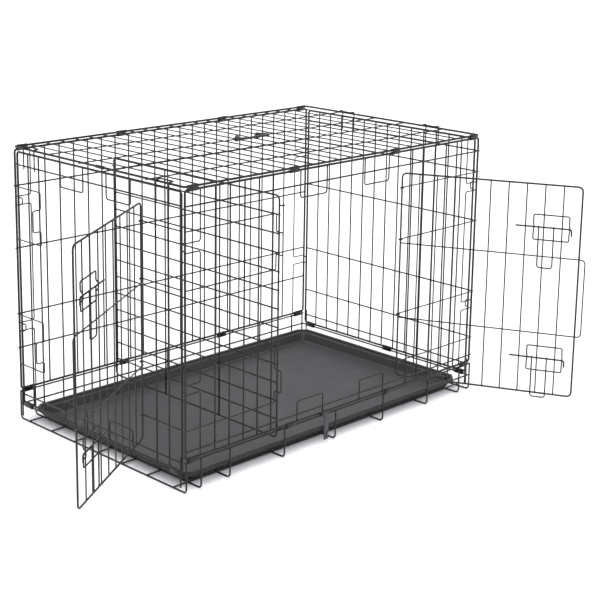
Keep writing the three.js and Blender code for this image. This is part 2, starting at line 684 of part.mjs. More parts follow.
// A moulded strap that hangs from the front panel's foot rail, with a finger knob past the hoop beside it.
function trayStop() {
  const hoopX = longX(HOOP_SIDE.spaces[0][1]);
  const strapX = hoopX + HOOP_WIRE / 2 + RUNNING_GAP + STOP_WIDTH / 2;
  const knobX = hoopX - STOP_KNOB.offset;
  const strapY = -halfWidth - stopBore - STOP_THICKNESS / 2 + WELD_TOUCH;
  const strap = new THREE.BoxGeometry(STOP_WIDTH, STOP_THICKNESS, sideFoot - STOP_FOOT);
  strap.translate(strapX, strapY, (sideFoot + STOP_FOOT) / 2);
  const slot = new THREE.BoxGeometry(STOP_SLOT.width, 4 * STOP_THICKNESS, STOP_SLOT.height);
  slot.translate(strapX, strapY, STOP_SLOT.foot + STOP_SLOT.height / 2);
  const armY = strapY - 1;
  const arm = new THREE.BoxGeometry(strapX - knobX, STOP_THICKNESS, BASE_WIRE);
  arm.translate((strapX + knobX) / 2, armY, sideFoot - BASE_WIRE);
  const knob = new THREE.CylinderGeometry(STOP_KNOB.radius, STOP_KNOB.radius + 1, STOP_KNOB.depth, 10);
  knob.rotateX(Math.PI / 2);
  knob.translate(knobX, armY - STOP_KNOB.depth / 2 + STOP_THICKNESS / 2, sideFoot);
  const ring = eye(-halfWidth, sideFoot, stopBore, STOP_WALL, STOP_WIDTH, 'yz', strapX);
  return union([strap, ring, arm, knob]).subtract(solid(slot));
}

// ---------------------------------------------------------------- carry handle

// A moulded strap handle. Its two eyes turn on a long wire of the top, and it lies flat towards -Y.
function carryHandle() {
  const centreX = longX(HANDLE_SPACE);
  const wireY = TOP_LONG_MIDDLE;
  const wireZ = HEIGHT - meshLayer;
  const bore = MESH_WIRE * Math.SQRT1_2 + LAID_GAP;
  const eyeHalf = bore + HANDLE_WALL;
  const bedZ = HEIGHT + MESH_WIRE / 2 + RUNNING_GAP;
  const gripY = wireY - HANDLE_REACH;
  const halfGrip = HANDLE_GRIP / 2;
  const halfSpread = longPitch - MESH_WIRE / 2 - HANDLE_WIRE_GAP - HANDLE_STRAP / 2;
  const leg = [
    [halfSpread, wireY + eyeHalf],
    [halfSpread, wireY - HANDLE_STEM],
    [halfGrip, gripY + HANDLE_FLARE],
    [halfSpread, gripY],
  ];
  const bow = [
    ...leg.map(([x, y]) => [centreX - x, y]),
    ...leg.reverse().map(([x, y]) => [centreX + x, y]),
  ];
  const strap = bent(bow, HANDLE_STRAP, 'xy', bedZ + HANDLE_THICKNESS / 2, HANDLE_BEND, HANDLE_THICKNESS);
  const blockFoot = wireZ - eyeHalf;
  const blockHead = bedZ + HANDLE_THICKNESS / 2;
  const holes = [];
  const blocks = [centreX - halfSpread, centreX + halfSpread].map((x) => {
    const block = new THREE.BoxGeometry(HANDLE_EYE, 2 * eyeHalf, blockHead - blockFoot);
    block.translate(x, wireY, (blockHead + blockFoot) / 2);
    const hole = new THREE.CylinderGeometry(bore, bore, 2 * HANDLE_EYE, 8, 1);
    hole.rotateZ(Math.PI / 2);
    holes.push(hole.translate(x, wireY, wireZ));
    return block;
  });
  return union([strap, ...blocks]).subtract(union(holes));
}

// ---------------------------------------------------------------- sleeve clips

// A rolled sleeve round two parallel wires, drawn with its length along Z.
function sleeve(pitch) {
  const outline = (path, radius) => {
    path.absarc(pitch / 2, 0, radius, -Math.PI / 2, Math.PI / 2);
    path.absarc(-pitch / 2, 0, radius, Math.PI / 2, 1.5 * Math.PI);
    path.closePath();
    return path;
  };
  const shape = outline(new THREE.Shape(), clipRadius);
  shape.holes.push(outline(new THREE.Path(), clipBore));
  const options = { depth: CLIP_LENGTH, bevelEnabled: false, curveSegments: 2 };
  const geometry = new THREE.ExtrudeGeometry(shape, options);
  return geometry.translate(0, 0, -CLIP_LENGTH / 2);
}

// Its two wires lie one over the other, at the height midZ between them.
function clip(name, x, y, midZ, along, pitch = railPitch) {
  const axes = {
    x: [[0, 0, 1], [0, 1, 0], [-1, 0, 0]],
    y: [[0, 0, 1], [1, 0, 0], [0, 1, 0]],
  }[along].map((axis) => new THREE.Vector3(...axis));
  const geometry = sleeve(pitch).applyMatrix4(new THREE.Matrix4().makeBasis(...axes));
  const mesh = add(name, solid(geometry), 'clip');
  mesh.position.set(x, y, midZ);
}

// ---------------------------------------------------------------- the whole crate

add('base_panel', basePanel());
add('back_side_panel', backSidePanel());
add('front_side_panel', frontSidePanel());
add('left_end_panel', leftEndPanel());
add('right_end_panel', rightEndPanel());
add('top_panel', topPanel());
add('divider_panel', divider());
add('tray', tray(), 'tray');
add('tray_stop', trayStop(), 'strap');
add('carry_handle', carryHandle(), 'grip');

for (const [side, name, inset] of [[-1, 'left', LEFT_HOOK_INSET], [1, 'right', RIGHT_HOOK_INSET]]) {
  add(`${name}_top_hook_front`, topHook(side, inset - halfWidth));
  add(`${name}_top_hook_back`, topHook(side, halfWidth - inset));
}

const sideDoor = door('side', SIDE_DOOR_WIDTH, SIDE_DOOR_SILL, underRim(SIDE_DOOR_HEAD_DROP));
sideDoor.position.set(sideHingeX, -halfWidth - doorStand, 0);
sideDoor.rotation.z = THREE.MathUtils.degToRad(SIDE_DOOR_OPEN);

const endDoor = door('end', END_DOOR_WIDTH, END_DOOR_SILL, underRim(END_DOOR_HEAD_DROP));
endDoor.position.set(-halfLength - doorStand, endHingeY, 0);
endDoor.rotation.z = THREE.MathUtils.degToRad(END_DOOR_OPEN - 90);

const topMid = HEIGHT - railPitch / 2;
const baseMid = BASE_RAIL_Z + railPitch / 2;
const endMid = BASE_LOOP_Z + railPitch / 2;
for (const [side, name] of [[-1, 'front'], [1, 'back']]) {
  LONG_CLIPS.map(longX).forEach((x, i) => {
    clip(`top_${name}_clip_${i + 1}`, x, side * halfWidth, topMid, 'x');
    clip(`base_${name}_clip_${i + 1}`, x, side * halfWidth, baseMid, 'x');
  });
}
const [backClipY, middleClipY, frontClipY] = END_CLIPS.map(endY);
clip('left_end_clip_1', -halfLength, frontClipY, endMid, 'y');
clip('left_end_clip_2', -halfLength, backClipY, endMid, 'y');
clip('right_end_clip_1', halfLength, frontClipY, endMid, 'y');
clip('right_end_clip_2', halfLength, middleClipY, endMid, 'y');
clip('right_end_clip_3', halfLength, backClipY, endMid, 'y');
clip('left_top_clip', -halfLength, middleClipY, HEIGHT, 'y', ROUND_CLIP_PITCH);

export default crate;
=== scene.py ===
"""The looks of a folding wire dog crate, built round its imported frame.

Lengths are in millimetres in every function below, and become metres when a mesh is made.
"""
import json
import math

import bmesh
import bpy
from mathutils import Matrix, Vector


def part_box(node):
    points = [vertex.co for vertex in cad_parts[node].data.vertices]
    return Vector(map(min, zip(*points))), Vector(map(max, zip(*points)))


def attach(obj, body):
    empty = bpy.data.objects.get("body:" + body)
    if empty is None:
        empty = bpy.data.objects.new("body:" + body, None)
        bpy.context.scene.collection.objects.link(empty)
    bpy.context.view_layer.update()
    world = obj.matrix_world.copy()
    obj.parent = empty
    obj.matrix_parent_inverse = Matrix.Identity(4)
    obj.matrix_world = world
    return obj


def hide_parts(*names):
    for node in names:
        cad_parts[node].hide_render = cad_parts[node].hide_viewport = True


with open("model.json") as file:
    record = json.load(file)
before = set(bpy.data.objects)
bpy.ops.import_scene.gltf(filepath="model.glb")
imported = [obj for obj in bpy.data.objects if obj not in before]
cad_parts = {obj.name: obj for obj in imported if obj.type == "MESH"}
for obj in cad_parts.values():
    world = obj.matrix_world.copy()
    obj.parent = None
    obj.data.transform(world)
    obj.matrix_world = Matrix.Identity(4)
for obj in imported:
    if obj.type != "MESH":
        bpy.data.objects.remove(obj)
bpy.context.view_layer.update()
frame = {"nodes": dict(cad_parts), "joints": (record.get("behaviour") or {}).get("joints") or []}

MM = 0.001

# ---------------------------------------------------------------- sizes

FRAME_WIRE = 4.4
BASE_WIRE = 3.4
DOOR_WIRE = 3.6
MESH_WIRE = 2.6
HOOP_WIRE = 2.8
WELD_BITE = 0.4
RUNNING_GAP = 0.4
FRAME_BEND = 6.5
DOOR_BEND = 10
ROW_STUB = 3                     # how far a row runs past the corner wire

LONG_SPACES = 23
END_SPACES = 14
RAIL_PITCH = 6.5
BASE_RAIL_Z = 66
BASE_LOOP_Z = 37
BASE_CROSS = [0, 1, 3, 7, 11, 15, 19, 22, 23]
FLOOR_INSET = 34
FLOOR_SPACES = 6
BASE_BEND = 9

UPPER_ROW_DROP = 38
SIDE_LOWER_ROW = 89
END_LOWER_ROW = 64
HIGH_ROW_DROPS = [88, 207]
LOW_ROWS = [250, 134]
BACK_HIGH_DROPS = [88, 230]
BACK_LOW_ROWS = [250, 170]
UPPER_SLOT_DROP = 122
LOWER_SLOT = 219
SLOT_HEIGHT = 20
CORNER_RING = 10
LEG_TOP = 75
LEG_FOOT = 12
TOP_LONG_INSET = 115
TOP_LONG_MIDDLE = 48

SIDE_DOOR = {"width": 400, "sill": 104, "drop": 54, "keeper": 12}
END_DOOR = {"width": 362, "sill": 84, "drop": 50, "keeper": 15}
DOOR_PITCH = 40
DOOR_ROW_DROP = 8
DOOR_LIP = 13
KEEPER_STAND = 20
KEEPER_STEP = 48
KEEPER_BEND = 4
EYE_TURN = 285                   # degrees that a row's end curls round the hinge wire
UPPER_BOLT_DROP = 150
LOWER_BOLT = 184
BOLT_TAIL = 142
BOLT_TIP = 20
BOLT_HOOK = 15
BRACKET_FAR = 103
BRACKET_NEAR = 25
BRACKET_HEIGHT = 56
BRACKET_SLANT = 6
PULL_FAR = 92
PULL_NEAR = 59
PULL_DROP = 92
HOOP_SIDE = {"spaces": [[8, 10], [13, 15]], "drop": 66, "foot": 118}
HOOP_END = {"spaces": [[4, 6], [8, 10]], "drop": 64, "foot": 88}
HOOK_WIDTH = 42
HOOK_DROP = 44
HOOK_REACH = 13
HOOK_INSETS = {"left": 61, "right": 146}

DIVIDER_FOOT = 46
DIVIDER_DROP = 56
DIVIDER_SPACES = 13
DIVIDER_GAP = 10
DIVIDER_HOOK = 10

CLIP_LENGTH = 26
CLIP_WALL = 0.9
CLIP_TIGHTER = 0.9               # how much closer than the frame's sleeve it lies on the wires
CLIP_SEAM = 1.2                  # open seam of the rolled sleeve
CLIP_EDGE = 0.28                 # rounding of the sleeve's edges

TRAY_WALL = 2.2
TRAY_RIM = 9
TRAY_FLARE = 2
TRAY_LEDGE = 7
TRAY_LEDGE_DROP = 6
TRAY_WELL = 10                   # how far the well's walls slope in
TRAY_SLOPE = 20                  # how far the outer walls slope in
TRAY_FLAT = 12                   # floor that is lofted before the last flat face
TRAY_CHAMFER = {"outer": 22, "step": 20, "well": 20}
TRAY_CHAMFER_LOSS = 0.586        # how much a chamfer shortens for each mm that its ring moves in
TRAY_BEND = 9                    # bend at each end of a chamfer
TRAY_FOLD = 1.8                  # rounding of the folds
TRAY_HOLE = {"length": 16, "width": 11, "in_x": 20, "in_y": 25}
TRAY_RIB_PITCH = 4.2             # fine ribs round the outside's foot
TRAY_RIB_DEPTH = 0.9
TRAY_RIB_HEAD = {"full": 0.6, "none": 0.68}     # how high the ribs reach, as shares of the tray's height

STOP_WIDTH = 13
STOP_THICKNESS = 3
STOP_FOOT = 9
STOP_BORE = 2.6
STOP_WALL = 1.3
STOP_RIBS = 3
STOP_RIB_HEIGHT = 0.9
STOP_LINK = {"width": 5, "thickness": 2.6}      # the bar between the grip and the knob
STOP_KNOB = {"offset": 12, "radius": 5.6, "depth": 9}
STOP_SLOT = {"width": 3, "height": 16, "foot": 12}

HANDLE_REACH = 32
HANDLE_GRIP = 104
HANDLE_STRAP = 9
HANDLE_THICKNESS = 5
HANDLE_BEND = 8
HANDLE_SPREAD = 31.9             # from the middle to each eye
HANDLE_EYE = {"radius": 5.4, "bore": 1.7, "width": 9, "edge": 0.9}

# ---------------------------------------------------------------- light and camera sizes

SWEEP = {"flat": 3.2, "reach": 14, "rise": 0.045}       # metres; the floor is flat at first, then curves up
SWEEP_SIDES = 48
SWEEP_STEPS = 16
WORLD_STRENGTH = 0.25
SUN = {"tilt": 8, "turn": -45, "softness": 100, "strength": 3.6}        # degrees, and watts per square metre
CAMERA = {                       # metres, degrees, millimetres of lens, and shares of the picture
    "at": (-2.227, -2.3468, 1.2091), "azimuth": -45.359, "elevation": 13.089,
    "roll": 0.939, "lens": 86.63, "shift": -0.1398,
}

# ---------------------------------------------------------------- what the frame says

top_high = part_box("top_panel")[1] / MM
half_length = top_high.x - FRAME_WIRE / 2
half_width = top_high.y - FRAME_WIRE / 2
height = top_high.z - FRAME_WIRE / 2
half_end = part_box("right_end_panel")[1].y / MM - FRAME_WIRE / 2
joints = {joint["name"]: joint for joint in frame["joints"]}
mesh_layer = MESH_WIRE - WELD_BITE
row_face = mesh_layer + MESH_WIRE / 2
side_foot = BASE_RAIL_Z + RAIL_PITCH
side_head = height - RAIL_PITCH
end_foot = BASE_LOOP_Z + RAIL_PITCH
end_head = height - RAIL_PITCH - (FRAME_WIRE + MESH_WIRE) / 2
floor_top = 2 * BASE_WIRE - WELD_BITE
door_rows = [height - drop for drop in HIGH_ROW_DROPS] + LOW_ROWS
back_rows = [height - drop for drop in BACK_HIGH_DROPS] + BACK_LOW_ROWS
slot_centres = [height - UPPER_SLOT_DROP, LOWER_SLOT]
bolt_centres = {"upper": height - UPPER_BOLT_DROP, "lower": LOWER_BOLT}
keeper_pairs = [(*door_rows[:2], bolt_centres["upper"]), (*door_rows[2:], bolt_centres["lower"])]


def long_x(space):
    return half_length * (2 * space / LONG_SPACES - 1)


def end_y(space):
    return half_end * (1 - 2 * space / END_SPACES)


# ---------------------------------------------------------------- wires

WIRE_SIDES = 10
BEND_STEPS = 5
ROUND_FOR_SQUARE = 2 / math.sqrt(math.pi)     # a round wire with the cross-section of the frame's square one
CAP_DEPTH = 0.35                 # rounding of a wire's cut end, in wire radii
CAP_SHARE = 0.7                  # a cut end's radius against the wire's
MESH_FULLER = 1.22               # the dip coating makes a panel's mesh this much fuller than the bare wire
WELD_BEAD = 0.72                 # a weld bead's radius, in wire thicknesses
WELD_TILTS = [-70, -35, 0, 35, 70]


def circle(centre, side, up, radius):
    angles = [2 * math.pi * k / WIRE_SIDES for k in range(WIRE_SIDES)]
    return [centre + radius * (math.cos(a) * side + math.sin(a) * up) for a in angles]


def on(plane, at):
    """A function that puts a point drawn in a plane into the room, at a place along the third axis."""
    return {
        "xy": lambda u, v: Vector((u, v, at)),
        "xz": lambda u, v: Vector((u, at, v)),
        "yz": lambda u, v: Vector((at, u, v)),
    }[plane]


def rounded(points, radius, closed=False, steps=BEND_STEPS):
    """The path with an arc in place of each corner."""
    points = [Vector(p) for p in points]
    count = len(points)
    path = [] if closed else [points[0]]
    for i in range(count) if closed else range(1, count - 1):
        corner = points[i]
        back, ahead = points[i - 1] - corner, points[(i + 1) % count] - corner
        half = back.angle(ahead) / 2
        if half > math.radians(89):
            path.append(corner)
            continue
        room = 0.48 * min(back.length, ahead.length)
        reach = min(radius / math.tan(half), room)
        middle = corner + (back.normalized() + ahead.normalized()).normalized() * reach / math.cos(half)
        start = corner + back.normalized() * reach - middle
        end = corner + ahead.normalized() * reach - middle
        turn = start.angle(end)
        for k in range(steps + 1):
            part = turn * k / steps
            path.append(middle + (start * math.sin(turn - part) + end * math.sin(part)) / math.sin(turn))
    if not closed:
        path.append(points[-1])
    return path


class Form:
    """Points and faces gathered into one mesh."""

    def __init__(self):
        self.points, self.faces = [], []

    def ring(self, points):
        first = len(self.points)
        self.points += points
        return first

    def join(self, one, two, count):
        for k in range(count):
            n = (k + 1) % count
            self.faces.append((one + k, one + n, two + n, two + k))

    def loft(self, rings, closed=False):
        """A skin over rings that each run counter-clockwise, seen from the far end."""
        count = len(rings[0])
        made = [self.ring(points) for points in rings]
        for one, two in zip(made, made[1:]):
            self.join(one, two, count)
        if closed:
            self.join(made[-1], made[0], count)
            return
        self.faces.append(tuple(reversed(range(made[0], made[0] + count))))
        self.faces.append(tuple(range(made[-1], made[-1] + count)))

    def turned(self, centre, axis, profile, steps=24, closed=False):
        """A solid turned about an axis, from a profile of (distance along the axis, radius)."""
        axis = Vector(axis)
        side = axis.orthogonal().normalized()
        up = axis.cross(side)
        rings = []
        for along, radius in profile:
            middle = Vector(centre) + along * axis
            angles = [2 * math.pi * k / steps for k in range(steps)]
            rings.append([middle + radius * (math.cos(a) * side + math.sin(a) * up) for a in angles])
        self.loft(rings, closed)

    def strap(self, path, normal, width, thickness, bend):
        """A flat bar with rounded edges along a path, its flat side facing the normal."""
        path = rounded(path, bend)
        normal = Vector(normal)
        rings = []
        for i, centre in enumerate(path):
            along = (path[min(i + 1, len(path) - 1)] - path[max(i - 1, 0)]).normalized()
            rings.append([centre + p for p in rounded_bar(along.cross(normal), normal, width, thickness)])
        self.loft(rings)

    def mesh(self, name, place=None):
        mesh = bpy.data.meshes.new(name)
        points = [place @ p if place else p for p in self.points]
        mesh.from_pydata([p * MM for p in points], [], self.faces)
        return mesh


def rounded_bar(side, up, width, thickness, steps=4):
    """The section of a flat bar with rounded edges, as offsets from its middle."""
    radius = thickness * 0.42
    points = []
    for turn, (su, sv) in enumerate(((1, 1), (-1, 1), (-1, -1), (1, -1))):
        for k in range(steps + 1):
            a = math.pi / 2 * (turn + k / steps)
            u = su * (width / 2 - radius) + radius * math.cos(a)
            v = sv * (thickness / 2 - radius) + radius * math.sin(a)
            points.append(u * side + v * up)
    return points


class Wirework(Form):
    """Round wires and their welds, gathered into one mesh."""

    def wire(self, points, thickness, bend=0, closed=False):
        path = rounded(points, bend, closed) if bend else [Vector(p) for p in points]
        count = len(path)
        tangents = []
        for i in range(count):
            if closed:
                along = path[(i + 1) % count] - path[i - 1]
            else:
                along = path[min(i + 1, count - 1)] - path[max(i - 1, 0)]
            tangents.append(along.normalized())
        side = tangents[0].orthogonal().normalized()
        sides = [side]
        for before, after in zip(tangents, tangents[1:]):
            side = before.rotation_difference(after) @ side
            side = (side - after * side.dot(after)).normalized()
            sides.append(side)
        slip = 0
        if closed:
            last = tangents[-1].rotation_difference(tangents[0]) @ side
            slip = math.atan2(last.cross(sides[0]).dot(tangents[0]), last.dot(sides[0]))
        radius = ROUND_FOR_SQUARE * thickness / 2
        rings = []
        for i, (centre, along, across) in enumerate(zip(path, tangents, sides)):
            across = Matrix.Rotation(slip * i / count, 3, along) @ across
            rings.append(circle(centre, across, along.cross(across), radius))
        if not closed:
            rings.insert(0, self.cap(path[0], tangents[0], sides[0], radius, -1))
            rings.append(self.cap(path[-1], tangents[-1], sides[-1], radius, 1))
        self.loft(rings, closed)

    def cap(self, end, along, across, radius, way):
        """The small last ring of a cut end, which lies past the end or before the start."""
        return circle(end + way * along * radius * CAP_DEPTH, across, along.cross(across), radius * CAP_SHARE)

    def weld(self, at, size=MESH_WIRE):
        """The bead that a resistance weld squeezes out where two wires cross."""
        radius = WELD_BEAD * size
        tilts = [math.radians(t) for t in WELD_TILTS]
        self.turned(at, (0, 0, 1), [(radius * math.sin(t), radius * math.cos(t)) for t in tilts], 8)

    def lattice(self, plane, at, uprights, rows, out):
        """Uprights (u, foot, head), rows (v, start, end) outside them, and a weld at each crossing."""
        place = on(plane, at)
        outer = on(plane, at + out * mesh_layer)
        bead = on(plane, at + out * mesh_layer / 2)
        for u, foot, head in uprights:
            self.wire([place(u, foot), place(u, head)], MESH_WIRE * MESH_FULLER)
        for v, start, end in rows:
            self.wire([outer(start, v), outer(end, v)], MESH_WIRE * MESH_FULLER)
            for u, foot, head in uprights:
                if foot < v < head and min(start, end) < u < max(start, end):
                    self.weld(bead(u, v))

    def piece(self, node, body, place=None):
        name = f"{node}_wires"
        mesh = self.mesh(name, place)
        mesh.shade_smooth()
        return finish_piece(mesh, name, body, node, coated_wire)


def finish_piece(mesh, name, body, node, material):
    made = bpy.data.objects.new(name, mesh)
    bpy.context.collection.objects.link(made)
    mesh.materials.clear()
    mesh.materials.append(material)
    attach(made, body)
    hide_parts(node)
    return made


# ---------------------------------------------------------------- materials

class Shader:
    """A short way to write a material's nodes."""

    def __init__(self, name, **values):
        self.material = bpy.data.materials.new(name)
        self.material.use_nodes = True
        self.tree = self.material.node_tree
        self.surface = self.tree.nodes["Principled BSDF"]
        for socket, value in values.items():
            self.surface.inputs[socket.replace("_", " ")].default_value = value
        coordinates = self.tree.nodes.new("ShaderNodeTexCoord")
        self.place, self.facing = coordinates.outputs["Object"], coordinates.outputs["Normal"]

    def link(self, out, to):
        self.tree.links.new(out, to)

    def roughness(self, value):
        self.link(value, self.surface.inputs["Roughness"])

    def stretched(self, scale):
        node = self.tree.nodes.new("ShaderNodeMapping")
        node.inputs["Scale"].default_value = scale
        self.link(self.place, node.inputs["Vector"])
        return node.outputs["Vector"]

    def z_of(self, vector):
        node = self.tree.nodes.new("ShaderNodeSeparateXYZ")
        self.link(vector, node.inputs["Vector"])
        return node.outputs["Z"]

    def product(self, *factors):
        node = self.tree.nodes.new("ShaderNodeMath")
        node.operation = "MULTIPLY"
        for factor, socket in zip(factors, node.inputs):
            self.link(factor, socket)
        return node.outputs["Value"]

    def ribs(self, pitch):
        """Upright waves round a form, seen from any side."""
        node = self.tree.nodes.new("ShaderNodeTexWave")
        node.bands_direction = "DIAGONAL"
        node.inputs["Scale"].default_value = 2 * math.pi / (10 * pitch)
        self.link(self.stretched((1, 1, 0)), node.inputs["Vector"])
        return node.outputs["Fac"]

    def noise(self, scale, detail=3, roughness=0.5, at=None):
        node = self.tree.nodes.new("ShaderNodeTexNoise")
        node.inputs["Scale"].default_value = scale
        node.inputs["Detail"].default_value = detail
        node.inputs["Roughness"].default_value = roughness
        self.link(at or self.place, node.inputs["Vector"])
        return node.outputs["Fac"]

    def span(self, value, low, high, to_low, to_high):
        node = self.tree.nodes.new("ShaderNodeMapRange")
        node.inputs["From Min"].default_value = low
        node.inputs["From Max"].default_value = high
        node.inputs["To Min"].default_value = to_low
        node.inputs["To Max"].default_value = to_high
        self.link(value, node.inputs["Value"])
        return node.outputs["Result"]

    def blend(self, share, one, two):
        node = self.tree.nodes.new("ShaderNodeMix")
        node.data_type = "RGBA"
        self.link(share, node.inputs["Factor"])
        for socket, colour in ((node.inputs[6], one), (node.inputs[7], two)):
            if isinstance(colour, bpy.types.NodeSocket):
                self.link(colour, socket)
            else:
                socket.default_value = (*colour, 1)
        return node.outputs[2]

    def bump(self, *layers):
        """Bumps from layers of (height, strength, distance), the last one on top."""
        normal = None
        for height, strength, distance in layers:
            node = self.tree.nodes.new("ShaderNodeBump")
            node.inputs["Strength"].default_value = strength
            node.inputs["Distance"].default_value = distance
            self.link(height, node.inputs["Height"])
            if normal:
                self.link(normal, node.inputs["Normal"])
            normal = node.outputs["Normal"]
        self.link(normal, self.surface.inputs["Normal"])


def wire_coating(name, dark, light, dust, roughness):
    """Black dip coating over drawn wire: slightly uneven gloss, a fine bumpy grain and a little dust."""
    shader = Shader(name, Coat_Weight=0.1, Coat_Roughness=0.25, Specular_IOR_Level=0.3)
    cloud = shader.noise(70, 4, 0.6)
    fine = shader.noise(2400, 2)
    specks = shader.span(shader.noise(900, 3, 0.7), 0.66, 0.78, 0, 0.55)
    colour = shader.blend(shader.span(cloud, 0.3, 0.7, 0, 1), dark, light)
    colour = shader.blend(specks, colour, dust)
    shader.link(colour, shader.surface.inputs["Base Color"])
    shader.roughness(shader.span(cloud, 0.25, 0.75, roughness - 0.07, roughness + 0.1))
    shader.bump((cloud, 0.35, 0.00008), (fine, 0.35, 0.00008))
    return shader.material


def tray_plastic():
    """Thermoformed sheet: fine grain, a painted sheen that makes upward faces paler than the walls, fine ribs
    round the outside's foot.
    """
    shader = Shader("tray_plastic", Specular_IOR_Level=0.45)
    foot, head = (corner.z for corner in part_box("tray"))
    mottle = shader.noise(14, 4, 0.6)
    grain = shader.noise(1100, 3, 0.6)
    upward = shader.z_of(shader.facing)
    cloud = shader.span(mottle, 0.3, 0.7, 0, 1)
    wall = shader.blend(cloud, (0.007, 0.007, 0.007), (0.011, 0.011, 0.012))
    # painted sheen: faces that look up are blended to this paler colour in place of the light's grazing
    # reflection, while the walls keep the plastic's near-black colour
    flat = shader.blend(cloud, (0.043, 0.043, 0.045), (0.051, 0.051, 0.054))
    colour = shader.blend(shader.span(upward, 0.55, 0.97, 0, 1), wall, flat)
    colour = shader.blend(shader.span(grain, 0.35, 0.65, 0, 0.3), colour, (0.012, 0.012, 0.013))
    shader.link(colour, shader.surface.inputs["Base Color"])
    shader.roughness(shader.span(mottle, 0.3, 0.7, 0.4, 0.52))
    none, full = (foot + TRAY_RIB_HEAD[key] * (head - foot) for key in ("none", "full"))
    low = shader.span(shader.z_of(shader.place), none, full, 0, 1)
    outside = shader.span(upward, -0.02, -0.15, 0, 1)
    ribs = shader.product(shader.ribs(TRAY_RIB_PITCH * MM), shader.product(low, outside))
    shader.bump((grain, 0.3, 0.00015), (ribs, 0.9, TRAY_RIB_DEPTH * MM))
    return shader.material


def moulded(name, dark, light, roughness):
    """Moulded plastic with a matt skin."""
    shader = Shader(name, Specular_IOR_Level=0.5)
    cloud = shader.noise(45, 4, 0.6)
    grain = shader.noise(2600, 2)
    colour = shader.blend(shader.span(cloud, 0.3, 0.7, 0, 1), dark, light)
    shader.link(colour, shader.surface.inputs["Base Color"])
    shader.roughness(shader.span(cloud, 0.3, 0.7, roughness - 0.06, roughness + 0.08))
    shader.bump((grain, 0.4, 0.0001))
    return shader.material


coated_wire = wire_coating(
    "coated_wire", roughness=0.4,
    dark=(0.005, 0.005, 0.005), light=(0.011, 0.011, 0.011), dust=(0.06, 0.058, 0.055))
clip_steel = wire_coating(
    "clip_steel", roughness=0.3,
    dark=(0.004, 0.004, 0.004), light=(0.010, 0.010, 0.010), dust=(0.05, 0.05, 0.05))
tray_finish = tray_plastic()
strap_finish = moulded("strap_plastic", (0.030, 0.031, 0.037), (0.042, 0.044, 0.052), 0.45)
grip_finish = moulded("grip_plastic", (0.007, 0.007, 0.007), (0.014, 0.014, 0.014), 0.38)

# ---------------------------------------------------------------- panels


def panel_frame(work, left, right, foot, head, thickness, plane, at, bend=FRAME_BEND):
    place = on(plane, at)
    corners = [place(left, foot), place(right, foot), place(right, head), place(left, head)]
    work.wire(corners, thickness, bend, closed=True)


def base_panel():
    work = Wirework()
    side = half_width + BASE_WIRE - WELD_BITE
    foot, head = BASE_WIRE / 2, BASE_RAIL_Z + BASE_WIRE / 2
    floor_z = floor_top - BASE_WIRE / 2
    reach = half_length + BASE_WIRE / 2
    lines = [(half_width - FLOOR_INSET) * (2 * i / FLOOR_SPACES - 1) for i in range(FLOOR_SPACES + 1)]
    for y in lines:
        work.wire([(-reach, y, floor_z), (reach, y, floor_z)], BASE_WIRE)
    for space in BASE_CROSS:
        place = on("yz", long_x(space))
        cradle = [place(-side, head), place(-side, foot), place(side, foot), place(side, head)]
        work.wire(cradle, BASE_WIRE, BASE_BEND)
        for y in lines:
            work.weld(place(y, floor_top / 2), BASE_WIRE)
        for y in (-1, 1):
            for z in (BASE_RAIL_Z, BASE_LOOP_Z):
                work.weld(place(y * (half_width + BASE_WIRE / 2), z), BASE_WIRE)
    for y in (-half_width, half_width):
        work.wire([(-reach, y, BASE_RAIL_Z), (reach, y, BASE_RAIL_Z)], BASE_WIRE)
    panel_frame(work, -half_length, half_length, -half_width, half_width, BASE_WIRE, "xy", BASE_LOOP_Z)
    work.piece("base_panel", "root")


def slotted_upright(work, space, y):
    """An upright next to a corner wire. At each slot it bends to the corner wire and starts again below."""
    x = long_x(space)
    corner = math.copysign(half_length + FRAME_WIRE / 2, x)
    half = SLOT_HEIGHT / 2
    levels = [side_head, *(z + step for z in slot_centres for step in (half, -half)), side_foot]
    place = on("xz", y)
    for i in range(0, len(levels), 2):
        path = [place(x, levels[i]), place(x, levels[i + 1])]
        if i > 0:
            path.insert(0, place(corner, levels[i]))
        if i + 2 < len(levels):
            path.append(place(corner, levels[i + 1]))
        work.wire(path, MESH_WIRE, 5)


def long_side(work, side, skip=(1, 1)):
    """The frame and uprights of a long side. The uprights between the two skipped spaces are left out."""
    y = side * half_width
    panel_frame(work, -half_length, half_length, side_foot, side_head, FRAME_WIRE, "xz", y)
    for space in (1, LONG_SPACES - 1):
        slotted_upright(work, space, y)
    spaces = [s for s in range(2, LONG_SPACES - 1) if not skip[0] < s < skip[1]]
    return [(long_x(s), side_foot, side_head) for s in spaces]


def row_welds(work, plane, at, out, rows, places):
    bead = on(plane, at + out * mesh_layer / 2)
    for v in rows:
        for u in places:
            work.weld(bead(u, v))


def back_side_panel():
    work = Wirework()
    uprights = long_side(work, 1)
    reach = half_length + ROW_STUB
    work.lattice("xz", half_width, uprights, [(z, -reach, reach) for z in back_rows], 1)
    outer_wires = [-half_length, long_x(1), long_x(LONG_SPACES - 1), half_length]
    row_welds(work, "xz", half_width, 1, back_rows, outer_wires)
    work.piece("back_side_panel", "root")


def keepers(work, plane, at, out, start, keeper):
    """Each pair of rows beside a door is one wire: its far part is the upright that holds the bolt's tip."""
    flat, stood = on(plane, at + out * mesh_layer), on(plane, at + out * (mesh_layer + KEEPER_STAND))
    half = KEEPER_STEP / 2
    for top, foot, centre in keeper_pairs:
        path = [
            flat(start, top), flat(keeper, top),
            flat(keeper, centre + half), stood(keeper, centre + half),
            stood(keeper, centre - half), flat(keeper, centre - half),
            flat(keeper, foot), flat(start, foot),
        ]
        work.wire(path, MESH_WIRE, KEEPER_BEND)


